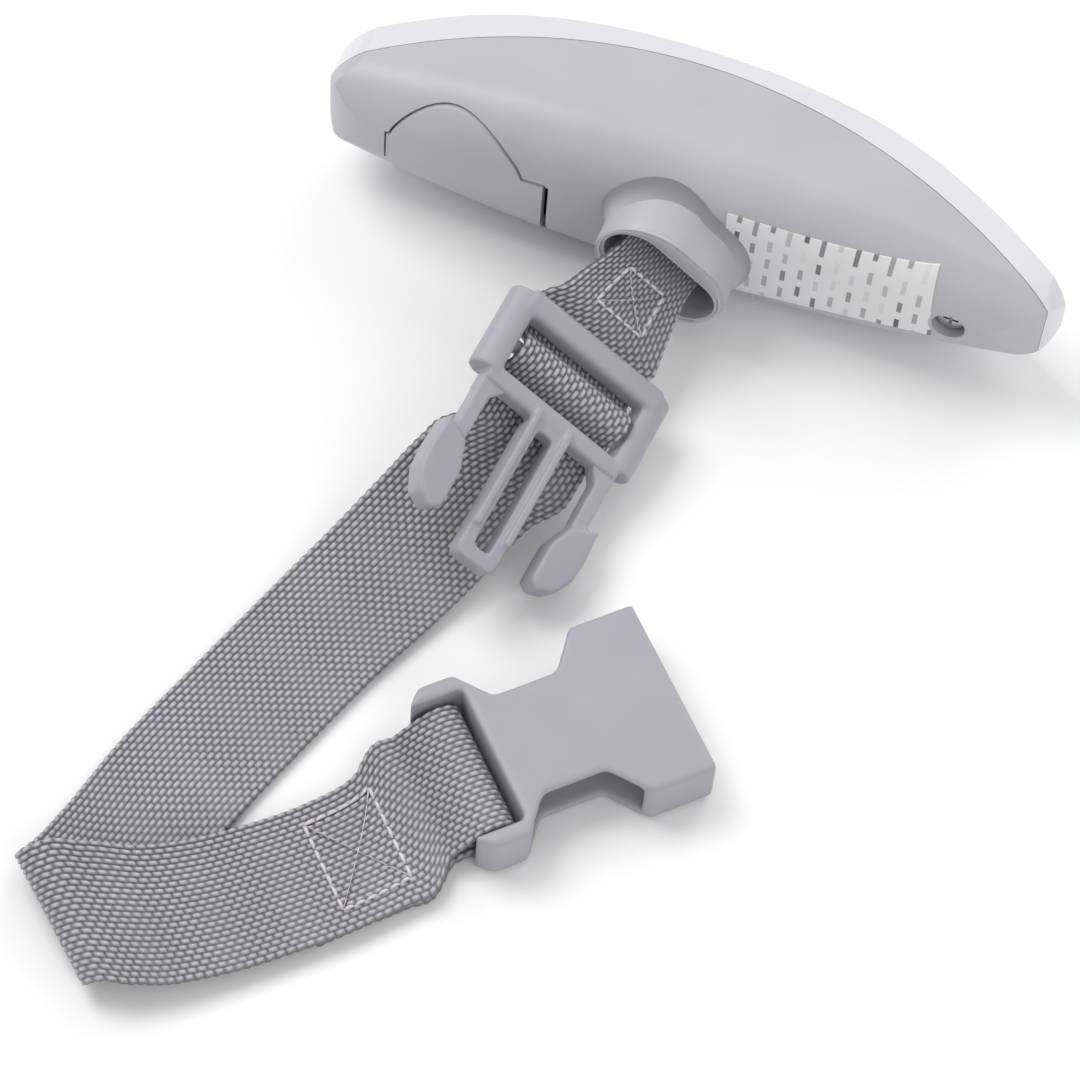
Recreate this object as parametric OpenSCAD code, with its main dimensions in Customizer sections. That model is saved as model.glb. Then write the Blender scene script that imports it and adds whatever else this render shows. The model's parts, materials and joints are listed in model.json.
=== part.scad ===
/* [Handle] */
// Length of the handle from tip to tip
body_l = 140; // [136:1:144]
// Thickness of the handle across its flanks
body_t = 34; // [33:0.5:36]
// Radius of the arched back
back_r = 136; // [134:1:138]
// Height of the arched back above the line through the two tips
back_h = 23; // [22.5:0.5:24]
// Depth of the belly below the line through the two tips
belly_h = 7.8; // [7.7:0.1:8]
// Wall thickness of both shells
wall = 1.8; // [1.6:0.1:2]
// Height of the white top cover, measured along the back's radius
cover_h = 5.4; // [5:0.1:6]
/* [Strap throat] */
// Length of the oval collar that the strap leaves through
collar_l = 26; // [26:0.5:27]
// Width of the oval collar
collar_w = 20; // [19:0.5:21]
// How far the collar stands out from the belly
collar_h = 9.2; // [8:0.2:10]
// Length of the oval throat
throat_l = 24; // [23.5:0.5:24.5]
// Width of the oval throat
throat_w = 12; // [11:0.5:13]
// Turn of the throat about its own axis
throat_turn = 38; // [34:1:42]
/* [Battery] */
// Diameter of the coin cell
cell_d = 20; // [20:0.1:20.2]
// Thickness of the coin cell
cell_t = 3.2; // [3:0.1:3.2]
// Place of the coin cell along the handle, from its middle
cell_x = -42; // [-43:0.5:-41.5]
/* [Buttons] */
// Distance of each button from the middle of the handle
button_mid = 28.8; // [28.6:0.1:29]
// Travel of each button
button_travel = 0.5; // [0.3:0.1:0.6]
/* [Webbing] */
// Width of the webbing
web_w = 25; // [24.5:0.5:25]
// Thickness of the webbing
web_t = 1.6; // [1.4:0.1:1.6]
/* [Buckle] */
// Overall width of both buckle halves
buckle_w = 34.4; // [34:0.2:35]
// Length of the centre tongue below the frame's base bar
tongue_l = 29; // [28:0.5:30]
// Length of the socket half
socket_l = 43; // [42:0.5:44]
// Thickness of the socket half
socket_t = 10.5; // [10:0.5:11]

/* [Hidden] */

smooth = 96;
fine = 40;
clear = 0.3;
half_l = body_l / 2;
half_t = body_t / 2;
arc_x = -1.9;
arc_y = back_h - back_r;
back_edge_r = 5;
flank_r = 260;
flank_x = -4;
flank_z = flank_r - half_t;
belly_edge_r = 9;
belly_tilt = 0.6;
nose_ease = 0.4;
nose_low_r = [11, 14];
parting_gap = 0.15;
parting_r = back_r - cover_h;

collar_end_y = -belly_h - collar_h;
collar_root_y = -belly_h + wall + 1;
board_t = 1.6;
board_y = 11.4;
board_half_x = 41;
board_half_z = 9;
lens_half_x = 18.5;
lens_half_z = 7.5;
lens_t = 1.5;
lcd_t = 2.8;
lcd_y = 15.6;
dome_r = 2.5;
dome_h = 0.4;
button_x = 10;
button_z = 6.4;
button_proud = 0.5;
flange = 1;
cell_beam_y = 1.5;
cell_beam_h = 7;
cell_beam_z = 6.35;
beam_x0 = -8;
beam_x1 = 46;
beam_screws = [32, 41];
eye_y = -3.5;
eye_bar_r = 1.5;
eye_half = 11.9;
plate_t = 1.1;
plate_y = cell_beam_y - plate_t;
stud_r = 2.5;
nut_h = 2;
cell_y = -4.3;
bay_r = cell_d / 2 + 0.6;
bay_wall = 1.2;
bay_floor_y = -0.7;
cover_gap = 0.45;
cover_r = 13;
cover_raise = 0.3;
screw_head_r = 2.5;
screw_r = 1.3;
recess_r = 3.1;
screw_x = 51;
screw_head_y = -5.6;
label_t = 0.2;
label_corners = [[10.4, -10.1], [48.3, -4.2], [46.6, 10.9], [8.4, 11.2]];

function heading(az, tilt) = [cos(tilt) * cos(az), cos(tilt) * sin(az), sin(tilt)];
function turn(v, a) =
    let (x = [v[0], v[1] * cos(a[0]) - v[2] * sin(a[0]), v[1] * sin(a[0]) + v[2] * cos(a[0])],
         y = [x[0] * cos(a[1]) + x[2] * sin(a[1]), x[1], -x[0] * sin(a[1]) + x[2] * cos(a[1])])
    [y[0] * cos(a[2]) - y[1] * sin(a[2]), y[0] * sin(a[2]) + y[1] * cos(a[2]), y[2]];
function unit(v) = v / norm(v);

male_at = [-5.8, -37.5, 0.2];
male_turn = [6, 34, -2.5];
female_at = [0.8, -119, -half_t + socket_t / 2];
female_turn = [0, 0, -45];
function on_male(x, y, z) = male_at + turn([x, y, z], male_turn);
function on_female(x, y, z) = female_at + turn([x, y, z], female_turn);

module placed() { translate(shift) children(); }
module male_frame() { placed() translate(male_at) rotate(male_turn) children(); }
module female_frame() { placed() translate(female_at) rotate(female_turn) children(); }

// ---------- Webbing route ----------
// Each row holds a point of the webbing's middle line, the azimuth and tilt of
// its width, and how much of its full width it has there.
slant = -throat_turn;
lay = [sin(throat_turn), 0, cos(throat_turn)];
eye_turn_r = eye_bar_r + 0.4 + web_t / 2;
layer = web_t / 2 + 0.1;
squeeze = 0.68;
spread = 1.5;
male_az = male_turn[2];
male_tilt = -male_turn[1];
floor_z = -half_t + web_t / 2;
upper_z = floor_z + web_t + 0.15;
bar_turn_r = 1.6 + 0.3 + web_t / 2;

function row(p, az, tilt, w = 1) = [p[0], p[1], p[2], az, tilt, w];
upper_part = [
    row([-5.1, -29.6, -1.9] - lay * layer, -1, slant, 0.95),
    row([-4, -25, -1.3] - lay * layer, 0, slant, 0.84),
    row([-2, -17, -0.3] - lay * layer, 0, slant, squeeze),
    row([-0.7, -10, 0] - lay * spread, 0, slant, squeeze),
    row([0, eye_y - 0.4, 0] - lay * eye_turn_r, 0, slant, squeeze),
    row([0, eye_y + eye_turn_r * 0.7, 0] - lay * eye_turn_r * 0.7, 0, slant, squeeze),
    row([0, eye_y + eye_turn_r, 0], 0, slant, squeeze),
    row([0, eye_y + eye_turn_r * 0.7, 0] + lay * eye_turn_r * 0.7, 0, slant, squeeze),
    row([0, eye_y - 0.4, 0] + lay * eye_turn_r, 0, slant, squeeze),
    row([-0.7, -10, 0] + lay * spread, 0, slant, squeeze),
    row([-2, -17, -0.3] + lay * layer, 0, slant, squeeze),
    row([-4, -25, -1.3] + lay * layer, 0, slant, 0.86),
    row([-5.1, -29.6, -1.9] + lay * layer, -1, slant, 0.96)];
male_route = [[3.4, -2.9], [-1.2, -2.9], [-3.9, -1.6], [-5.4, 0.6], [-6.3, 1.9], [-7.8, 2.4], [-9.3, 1.9], [-10.2, 0.6],
    [-11.4, -1.5], [-12.9, -3], [-16, -3.9], [-20, -4.6]];
male_part = [for (p = male_route) row(on_male(0, p[0], p[1]), male_az, male_tilt)];
long_part = [
    row([-15.5, -64, -7], -12, -25),
    row([-20.5, -75, -10.5], -18, -17),
    row([-25, -85, -13.4], -20, -9),
    row([-29.5, -95, -15.2], -20, -3),
    row([-37, -116, floor_z + 0.1], -21, 0),
    row([-43, -135, floor_z + 0.1], -22, 0),
    row([-46.4, -150, floor_z + 0.3], -28, 0),
    row([-48.4, -157.5, floor_z + 0.6], -34, -1)];
// The hairpin: half a turn about a slanted line, climbing along it.
fold_az = -40;
fold_tilt = -9;
fold_r = 3.1;
fold_at = [-50.3, -163.5, floor_z + 1.2];
fold_climb = 0.4;
function fold_row(a) =
    let (out = [sin(fold_az), -cos(fold_az), 0], line = [cos(fold_az), sin(fold_az), 0],
         p = fold_at + out * fold_r * sin(a) + [0, 0, fold_r * (1 - cos(a))]
             + line * fold_r * fold_climb * a * PI / 180)
    row(p, fold_az, fold_tilt * (0.25 + 0.75 * sin(a / 2)));
fold_part = [for (a = [0:36:180]) fold_row(a)];
return_part = [
    row([-42.5, -163.8, -9.6], -42, -9),
    row([-35.5, -160.3, -11.4], -45, -7),
    row([-28.5, -155.2, -13], -46, -4),
    row([-20, -147.5, -14.1], -45, -1),
    row([-12, -139.5, upper_z], -45, 0),
    row([-6, -131.5, upper_z], -45, 0)];
female_part = [for (p = [[-5.5, -2], [-2, 0.8], [0.7, 2.3], [3, bar_turn_r], [5, 1.9], [bar_turn_r + 3, 0], [5, -1.9],
    [3, -bar_turn_r], [0, -3.4], [-5, -4.3]])
    row(on_female(0, p[0], p[1]), -45, 0)];
tail_part = [
    row([-6.4, -132.2, floor_z + 0.1], -45, 0),
    row([-12, -138.4, floor_z], -45, 0),
    row([-18, -145, floor_z], -45, 0)];
web_points = concat(upper_part, male_part, long_part, fold_part, return_part, female_part, tail_part);

// ---------- Shared frame ----------
// The scale is drawn about the middle of its handle, then set on the table
// with the middle of its box on the Z axis.
table_x = 0;
table_y = 76.5;
shift = [table_x, table_y, half_t];

// A smooth curve through the rows, a few steps to each row, with slopes
// weighted by the gaps so that a short gap beside a long one does not loop.
web_steps = 2;
row_last = len(web_points) - 1;
function place(i) = let (r = web_points[i]) [r[0], r[1], r[2]];
function gap(i) = norm(place(i + 1) - place(i));
function chord(i) = (web_points[i + 1] - web_points[i]) / gap(i);
function slope(i) =
    i == 0 ? chord(0)
    : i == row_last ? chord(i - 1)
    : (chord(i) * gap(i - 1) + chord(i - 1) * gap(i)) / (gap(i - 1) + gap(i));
function between(i, t) =
    (2 * pow(t, 3) - 3 * t * t + 1) * web_points[i]
    + (pow(t, 3) - 2 * t * t + t) * gap(i) * slope(i)
    + (3 * t * t - 2 * pow(t, 3)) * web_points[i + 1]
    + (pow(t, 3) - t * t) * gap(i) * slope(i + 1);
function web_row(k) =
    let (i = floor(k / web_steps), t = k / web_steps - i)
    i == row_last ? web_points[i] : between(i, t);
web_last = row_last * web_steps;
web_rows = [for (k = [0:web_last]) web_row(k)];
function web_at(k) = let (r = web_rows[k]) [r[0], r[1], r[2]];
function web_along(k) = unit(web_at(min(web_last, k + 1)) - web_at(max(0, k - 1)));
function web_side(k) =
    let (w = heading(web_rows[k][3], web_rows[k][4]))
    w / norm(cross(w, web_along(k)));
function web_up(k) = unit(cross(web_along(k), web_side(k)));
function web_corner(k, a, b) = web_at(k) + web_side(k) * a * web_w * web_rows[k][5] / 2 + web_up(k) * b * web_t / 2;
function web_ring(k) = [web_corner(k, -1, -1), web_corner(k, 1, -1), web_corner(k, 1, 1), web_corner(k, -1, 1)];

module swept(rings) {
    n = len(rings[0]);
    m = len(rings);
    faces = concat(
        [[for (j = [0:n - 1]) j]],
        [for (i = [0:m - 2], j = [0:n - 1]) [i * n + j, (i + 1) * n + j, i * n + (j + 1) % n]],
        [for (i = [0:m - 2], j = [0:n - 1]) [i * n + (j + 1) % n, (i + 1) * n + j, (i + 1) * n + (j + 1) % n]],
        [[for (j = [n - 1:-1:0]) (m - 1) * n + j]]);
    polyhedron(points = [for (r = rings, p = r) p], faces = faces, convexity = 8);
}

// ---------- Form of the handle ----------
// Each flank is a large arc about an upright axis; each end is a small arc
// that meets both flanks.
function nose_r(s) =
    let (d = half_l - s * flank_x)
    (flank_r * flank_r - flank_z * flank_z - d * d) / (2 * (flank_r - d)) + nose_ease;

module corner_section(length, half, r) {
    translate([0, -half + r]) square([length, 2 * (half - r)]);
    translate([0, -half]) square([length - r, 2 * half]);
    for (s = [-1, 1]) translate([length - r, s * (half - r)]) circle(r, $fn = smooth);
}
module back_zone(o, from_r = 60) {
    translate([arc_x, arc_y, 0]) rotate_extrude($fn = smooth)
        translate([from_r, 0]) corner_section(back_r - o - from_r, half_t + 1 - o, back_edge_r);
}
module flank_section(length, low, high, r) {
    translate([0, low + r]) square([length, high - low - r]);
    translate([0, low]) square([length - r, high - low]);
    translate([length - r, low + r]) circle(r, $fn = smooth);
}
module flank_zone(s, o, from_r = 190) {
    translate([flank_x, 0, -s * flank_z]) rotate([-90, 0, 0]) rotate_extrude($fn = smooth)
        translate([from_r, 0]) flank_section(flank_r - o - from_r, -belly_h + o, 40, belly_edge_r - o);
}
module plan_zone(o) {
    x_low = -half_l + nose_r(-1);
    x_high = half_l - nose_r(1);
    rotate([-90, 0, 0]) linear_extrude(90, center = true) {
        translate([x_low, -30]) square([x_high - x_low, 60]);
        for (s = [-1, 1]) translate([s < 0 ? x_low : x_high, 0]) circle(nose_r(s) - o, $fn = smooth);
    }
}
module nose_zone(o) {
    linear_extrude(body_t + 6, center = true) {
        translate([-half_l + nose_low_r[0], -belly_h + o - 1])
            square([body_l - nose_low_r[0] - nose_low_r[1], 50]);
        for (s = [-1, 1]) nose_corner(s, s < 0 ? nose_low_r[0] : nose_low_r[1], o);
    }
}
module nose_corner(s, r, o) {
    translate([s * (half_l - r), -belly_h + r]) circle(r - o, $fn = smooth);
    translate([s < 0 ? -half_l + o : half_l - r, -belly_h + r]) square([r - o, 40]);
}
module handle_form(o) {
    intersection() {
        back_zone(o);
        rotate([0, 0, belly_tilt]) intersection() {
            flank_zone(-1, o);
            flank_zone(1, o);
            plan_zone(o);
            nose_zone(o);
        }
    }
}
module along_y(x, y0, y1, r, z = 0) {
    translate([x, y1, z]) rotate([90, 0, 0]) cylinder(h = y1 - y0, r = r, $fn = fine);
}
module arc_disc(r) {
    translate([arc_x, arc_y, 0]) cylinder(h = body_t + 8, r = r, center = true, $fn = smooth);
}
module oval(length, width) {
    r = width / 2;
    square([length - width, width], center = true);
    for (s = [-1, 1]) translate([s * (length / 2 - r), 0]) circle(r, $fn = fine);
}
module on_belly(y0, y1) {
    translate([0, y1, 0]) rotate([90, 0, 0]) linear_extrude(y1 - y0) children();
}

// Outline of the battery cover, drawn on the belly: a round end with a nail
// tab on the left and a wider foot on the right.
cover_z = -1;
cover_foot_x = cell_x + 16.5;
cover_foot_z = -12;
cover_foot_w = 14;
cover_top_y = -1.4;
tab_l = 8;
tab_w = 7;
tab_z = -4.2;
module cover_outline(o) {
    translate([cell_x - 0.5, cover_z]) circle(cover_r - o, $fn = smooth);
    translate([cell_x - cover_r - 0.5 + o, tab_z + o]) square([tab_l, tab_w - 2 * o]);
    translate([cell_x, cover_foot_z + o]) square([cover_foot_x - cell_x - o, cover_foot_w - 2 * o]);
}

// ---------- Shells ----------
module bottom_shell() color([0.72, 0.71, 0.75]) placed() {
    difference() {
        union() {
            difference() {
                intersection() {
                    handle_form(0);
                    arc_disc(parting_r);
                }
                handle_form(wall);
            }
            on_belly(collar_end_y, collar_root_y) rotate(-throat_turn) oval(collar_l, collar_w);
            along_y(cell_x, cell_y - 0.6, bay_floor_y + bay_wall, bay_r + bay_wall);
            along_y(screw_x, screw_head_y - 0.8, 0, recess_r + 1.2);
            for (x = beam_screws) along_y(x, -belly_h + wall / 2, cell_beam_y, 3.6);
        }
        on_belly(collar_end_y - 1, collar_root_y + 1) rotate(-throat_turn) oval(throat_l, throat_w);
        along_y(cell_x, -belly_h - 1, bay_floor_y, bay_r);
        difference() {
            on_belly(-belly_h - 1, cover_top_y + clear) {
                cover_outline(-cover_gap);
                translate([cover_foot_x - 2, cover_foot_z - cover_gap]) square([3, cover_foot_w + cover_gap]);
            }
            handle_form(wall + cover_raise + clear);
        }
        along_y(screw_x, -belly_h - 1, screw_head_y + 2, recess_r);
        along_y(screw_x, -belly_h - 1, 4, screw_r + 0.15);
        for (x = beam_screws) along_y(x, -belly_h + wall + 1, cell_beam_y + 1, 1.2);
        translate([-58.4, -belly_h - 0.5, 0.4]) rotate([-90, 0, 0]) cylinder(h = 2, r = 2.2, $fn = fine);
    }
}
module top_cover() color([0.93, 0.93, 0.94]) placed() {
    difference() {
        union() {
            difference() {
                handle_form(0);
                handle_form(wall);
                arc_disc(parting_r + parting_gap);
            }
            intersection() {
                along_y(screw_x, clear, 30, 3);
                handle_form(wall - 0.4);
            }
        }
        along_y(screw_x, -1, 7, screw_r - 0.2);
        translate([-lens_half_x, 12, -lens_half_z]) cube([2 * lens_half_x, 20, 2 * lens_half_z]);
        for (s = [-1, 1]) button_seat(s) linear_extrude(20, center = true)
            oval(button_x + 2 * clear, button_z + 2 * clear);
    }
}
module display_lens() color([0.55, 0.58, 0.6, 0.6]) placed() {
    intersection() {
        difference() {
            handle_form(0);
            handle_form(lens_t);
        }
        translate([-lens_half_x + 0.1, 12, -lens_half_z + 0.1])
            cube([2 * lens_half_x - 0.2, 20, 2 * lens_half_z - 0.2]);
    }
}

// ---------- Display, board and buttons ----------
function seat_angle(s) = asin((s * button_mid - arc_x) / back_r);
module button_seat(s) {
    translate([arc_x, arc_y, 0]) rotate([0, 0, -seat_angle(s)]) translate([0, back_r, 0])
        rotate([-90, 0, 0]) children();
}
module lcd_panel() color([0.45, 0.5, 0.47]) placed() {
    translate([-lens_half_x, lcd_y, -6.8]) cube([2 * lens_half_x, lcd_t, 13.6]);
}
module zebra_strips() color([0.85, 0.5, 0.6]) placed() {
    for (s = [-1, 1]) translate([-16, board_y + board_t, s * 5.4 - 1]) cube([32, lcd_y - board_y - board_t, 2]);
}
module circuit_board() color([0.1, 0.4, 0.2]) placed() {
    translate([-board_half_x, board_y, -board_half_z]) cube([2 * board_half_x, board_t, 2 * board_half_z]);
    translate([6, board_y - 0.9, -4]) cube([8, 0.9, 8]);
}
module button_domes() color([0.8, 0.8, 0.78]) placed() {
    low = board_y + board_t;
    for (s = [-1, 1]) along_y(arc_x + pin_end_r(s) * sin(seat_angle(s)), low, low + dome_h, dome_r);
}
pin_r = 1.5;
function pin_low_y(s) = board_y + board_t + dome_h + clear + button_travel + pin_r * sin(abs(seat_angle(s)));
function pin_end_r(s) = (pin_low_y(s) - arc_y) / cos(seat_angle(s));
module button_key(s) {
    foot = flange + wall + clear;
    button_seat(s) translate([0, 0, pin_end_r(s) - back_r])
        cylinder(h = back_r - pin_end_r(s) - foot + 0.1, r = pin_r, $fn = fine);
    button_seat(s) {
        translate([0, 0, -foot + 0.1]) linear_extrude(foot - 0.1 + button_proud) oval(button_x, button_z);
        translate([0, 0, -foot]) linear_extrude(flange) oval(button_x + 2, button_z + 1.6);
    }
}
module power_button() color([0.62, 0.62, 0.66]) placed() button_key(1);
module unit_button() color([0.62, 0.62, 0.66]) placed() button_key(-1);

// ---------- Load cell and strap eye ----------
module load_cell() color([0.8, 0.8, 0.82]) placed() {
    mid_y = cell_beam_y + cell_beam_h / 2;
    difference() {
        translate([beam_x0, cell_beam_y, -cell_beam_z]) cube([beam_x1 - beam_x0, cell_beam_h, 2 * cell_beam_z]);
        for (x = [12, 20]) translate([x, mid_y, 0]) cylinder(h = 30, r = 2.3, center = true, $fn = fine);
        translate([12, mid_y - 0.8, -15]) cube([8, 1.6, 30]);
        for (x = beam_screws) along_y(x, -1, 12, 1.7);
        along_y(0, -1, 12, stud_r + 0.05);
    }
}
module strain_gauge() color([0.8, 0.6, 0.3]) placed() {
    for (x = [12, 20]) translate([x - 2.2, cell_beam_y + cell_beam_h, -2]) cube([4.4, 0.15, 4]);
}
module load_cell_screws() color([0.7, 0.7, 0.7]) placed() {
    top = cell_beam_y + cell_beam_h;
    for (x = beam_screws) {
        along_y(x, -2.5, top, 1.15);
        along_y(x, top, top + 1.7, 2.6);
    }
}
module strap_eye() color([0.72, 0.72, 0.72]) placed() {
    along_y(0, plate_y, cell_beam_y + cell_beam_h + nut_h + 0.3, stud_r);
    rotate([0, throat_turn, 0]) {
        translate([0, eye_y, 0]) rotate([0, 90, 0]) cylinder(h = 2 * eye_half, r = eye_bar_r, center = true, $fn = fine);
        for (s = [-1, 1]) along_y(s * (eye_half - eye_bar_r), eye_y, plate_y + plate_t, eye_bar_r);
        translate([-eye_half, plate_y, -eye_bar_r]) cube([2 * eye_half, plate_t, 2 * eye_bar_r]);
    }
}
module eye_nut() color([0.75, 0.72, 0.6]) placed() {
    top = cell_beam_y + cell_beam_h;
    difference() {
        translate([0, top, 0]) rotate([-90, 0, 0]) cylinder(h = nut_h, r = 4.6, $fn = 6);
        along_y(0, top - 1, top + nut_h + 1, stud_r + 0.02);
    }
}

// ---------- Battery ----------
module coin_cell() color([0.8, 0.8, 0.8]) placed() {
    along_y(cell_x, cell_y, cell_y + cell_t - 0.5, cell_d / 2);
    along_y(cell_x, cell_y + cell_t - 0.5, cell_y + cell_t, cell_d / 2 - 1);
}
module positive_contact() color([0.85, 0.8, 0.6]) placed() {
    translate([cell_x + cell_d / 2 + 0.05, cell_y, -2]) cube([0.25, 3.6, 4]);
}
module negative_contact() color([0.85, 0.8, 0.6]) placed() {
    translate([cell_x - 4, cell_y + cell_t + 0.05, -1.6]) cube([8, 0.25, 3.2]);
}
module battery_cover() color([0.72, 0.71, 0.75]) placed() {
    intersection() {
        difference() {
            translate([0, -cover_raise, 0]) handle_form(0);
            translate([0, -cover_raise, 0]) handle_form(wall + cover_raise);
        }
        on_belly(-belly_h - 2, cover_top_y) cover_outline(0);
    }
}

// ---------- Leads, screws and label ----------
function lead_along(p, i) = unit(p[min(len(p) - 1, i + 1)] - p[max(0, i - 1)]);
function lead_ring(p, i, r) =
    let (d = lead_along(p, i), u = unit(cross(d, [1, 0, 0])), v = cross(d, u))
    [for (a = [0:45:315]) p[i] + r * (cos(a) * u + sin(a) * v)];
module lead(p, r) {
    swept([for (i = [0:len(p) - 1]) lead_ring(p, i, r)]);
}
lead_r = 0.45;
battery_lead_runs = [for (s = [-1, 1]) [[-35, 1.1, s * 5], [-33, 4, s * 6], [-33, 10.9, s * 6]]];
gauge_lead_runs = [for (z = [-1.5, -0.5, 0.5, 1.5]) [[22.5, 9.1, z * 1.2], [25, 10, z * 1.6], [25, 10.9, z * 1.6]]];
module battery_leads() color([0.75, 0.15, 0.12]) placed() {
    for (run = battery_lead_runs) lead(run, lead_r);
}
module gauge_leads() color([0.85, 0.85, 0.8]) placed() {
    for (run = gauge_lead_runs) lead(run, lead_r);
}
module case_screw() color([0.75, 0.75, 0.76]) placed() {
    difference() {
        union() {
            along_y(screw_x, screw_head_y, screw_head_y + 1.6, screw_head_r);
            along_y(screw_x, screw_head_y + 1.6, 6, screw_r - 0.3);
        }
        for (a = [0, 90]) translate([screw_x, screw_head_y, 0]) rotate([0, a, 0])
            cube([2.8, 1.4, 0.6], center = true);
    }
}
module info_label() color([0.95, 0.95, 0.95]) placed() {
    intersection() {
        difference() {
            handle_form(-label_t);
            handle_form(0);
        }
        difference() {
            on_belly(-belly_h - 3, 0) polygon(label_corners);
            along_y(screw_x, -15, 5, recess_r + 0.6);
            on_belly(-15, 5) rotate(-throat_turn) oval(collar_l + 1, collar_w + 1);
        }
    }
}

// ---------- Strap ----------
module webbing_strap() color([0.5, 0.5, 0.53]) placed() swept([for (k = [0:web_last]) web_ring(k)]);

stitch_t = 0.35;
module stitch_box(x, y, cross = 1) {
    difference() {
        square([x, y], center = true);
        square([x - 1, y - 1], center = true);
    }
    for (s = [-1, 1]) rotate(s * atan2(y, x)) square([norm([x, y]) - 1.2, 0.9], center = true);
}
module upper_stitching() color([0.75, 0.74, 0.72]) placed() {
    at = web_at(11 * web_steps);
    side = web_side(11 * web_steps);
    along = web_along(11 * web_steps);
    up = web_up(11 * web_steps);
    place = [[side[0], along[0], up[0], at[0]], [side[1], along[1], up[1], at[1]], [side[2], along[2], up[2], at[2]],
        [0, 0, 0, 1]];
    multmatrix(place) translate([0, 0, web_t / 2 + 0.05]) linear_extrude(stitch_t) stitch_box(12, 9);
}
module end_stitching() color([0.75, 0.74, 0.72]) placed() {
    translate([-9.5, -136, upper_z + web_t / 2 + 0.05]) rotate([0, 0, 45])
        linear_extrude(stitch_t) stitch_box(13, 17);
}

// ---------- Male buckle half ----------
rail_x = 15.2;
rail_r = 3.2;
frame_top = 2.6;
frame_low = -17;
bar_half = rail_x;
prong_x = 13.9;
prong_gap = 0.5;
tongue_half = 4.2;
tongue_t = 3.8;
rib_w = 1.4;
rib_h = 1;
tongue_end_r = 1.8;
slot_half = 1.7;
slot_end_r = 0.7;
slot_y0 = 3;
module rounded_bar(y0, y1, z0, z1, half) {
    r = (y1 - y0) / 2 * 0.6;
    rotate([0, 90, 0]) linear_extrude(2 * half, center = true) translate([-z0, (y0 + y1) / 2])
        translate([-(z1 - z0), -(y1 - y0) / 2]) union() {
            translate([r, 0]) square([z1 - z0 - r, y1 - y0]);
            translate([0, r]) square([r, y1 - y0 - 2 * r]);
            for (y = [r, y1 - y0 - r]) translate([r, y]) circle(r, $fn = fine);
        }
}
module rounded_plate(half, y0, y1, r) {
    translate([-half, y0 + r]) square([2 * half, y1 - y0 - 2 * r]);
    translate([-half + r, y0]) square([2 * (half - r), y1 - y0]);
    for (x = [-half + r, half - r], y = [y0 + r, y1 - r]) translate([x, y]) circle(r, $fn = fine);
}
module male_buckle() color([0.65, 0.64, 0.69]) male_frame() {
    for (s = [-1, 1]) translate([s * rail_x, frame_top - 1, -0.4]) {
        rotate([90, 0, 0]) intersection() {
            cylinder(h = frame_top - frame_low - 3, r = rail_r, $fn = fine);
            translate([s * 0.6 - 2.6, -10, -1]) cube([5.2, 20, 40]);
        }
    }
    rounded_bar(-2.2, frame_top, -1.6, 3.2, bar_half);
    rounded_bar(frame_low, -13.3, -1.8, 2.4, bar_half);
    translate([0, -7.8, 0]) rotate([0, 90, 0]) cylinder(h = 2 * bar_half, r = 1.3, center = true, $fn = fine);
    translate([0, frame_low - tongue_l, -1.9]) difference() {
        union() {
            linear_extrude(tongue_t) rounded_plate(tongue_half, 0, tongue_l + 0.2, tongue_end_r);
            for (s = [-1, 1]) translate([s * (tongue_half - rib_w / 2) - rib_w / 2, 6, tongue_t - 0.8])
                cube([rib_w, tongue_l - 4.5, rib_h + 0.8]);
        }
        translate([0, 0, -1]) linear_extrude(8) rounded_plate(slot_half, slot_y0, tongue_l - 1.4, slot_end_r);
    }
}
module prong(s) {
    arm = [2.8, 13, 3.4];
    head_t = 5.2;
    head = [[-1.4, -12], [3.5, -9.8], [3.9, -16], [3.6, -20.5], [1.6, -24.5], [-1.5, -26], [-3.4, -24.8], [-3.4, -17]];
    male_frame() translate([s * prong_x, frame_low, 0]) mirror([s < 0 ? 1 : 0, 0, 0]) {
        translate([-arm[0] / 2, -arm[1], -arm[2] / 2]) cube([arm[0], arm[1] - prong_gap, arm[2]]);
        translate([0, 0, -head_t / 2]) linear_extrude(head_t) polygon(head);
    }
}
module left_prong() color([0.65, 0.64, 0.69]) prong(-1);
module right_prong() color([0.65, 0.64, 0.69]) prong(1);

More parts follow.
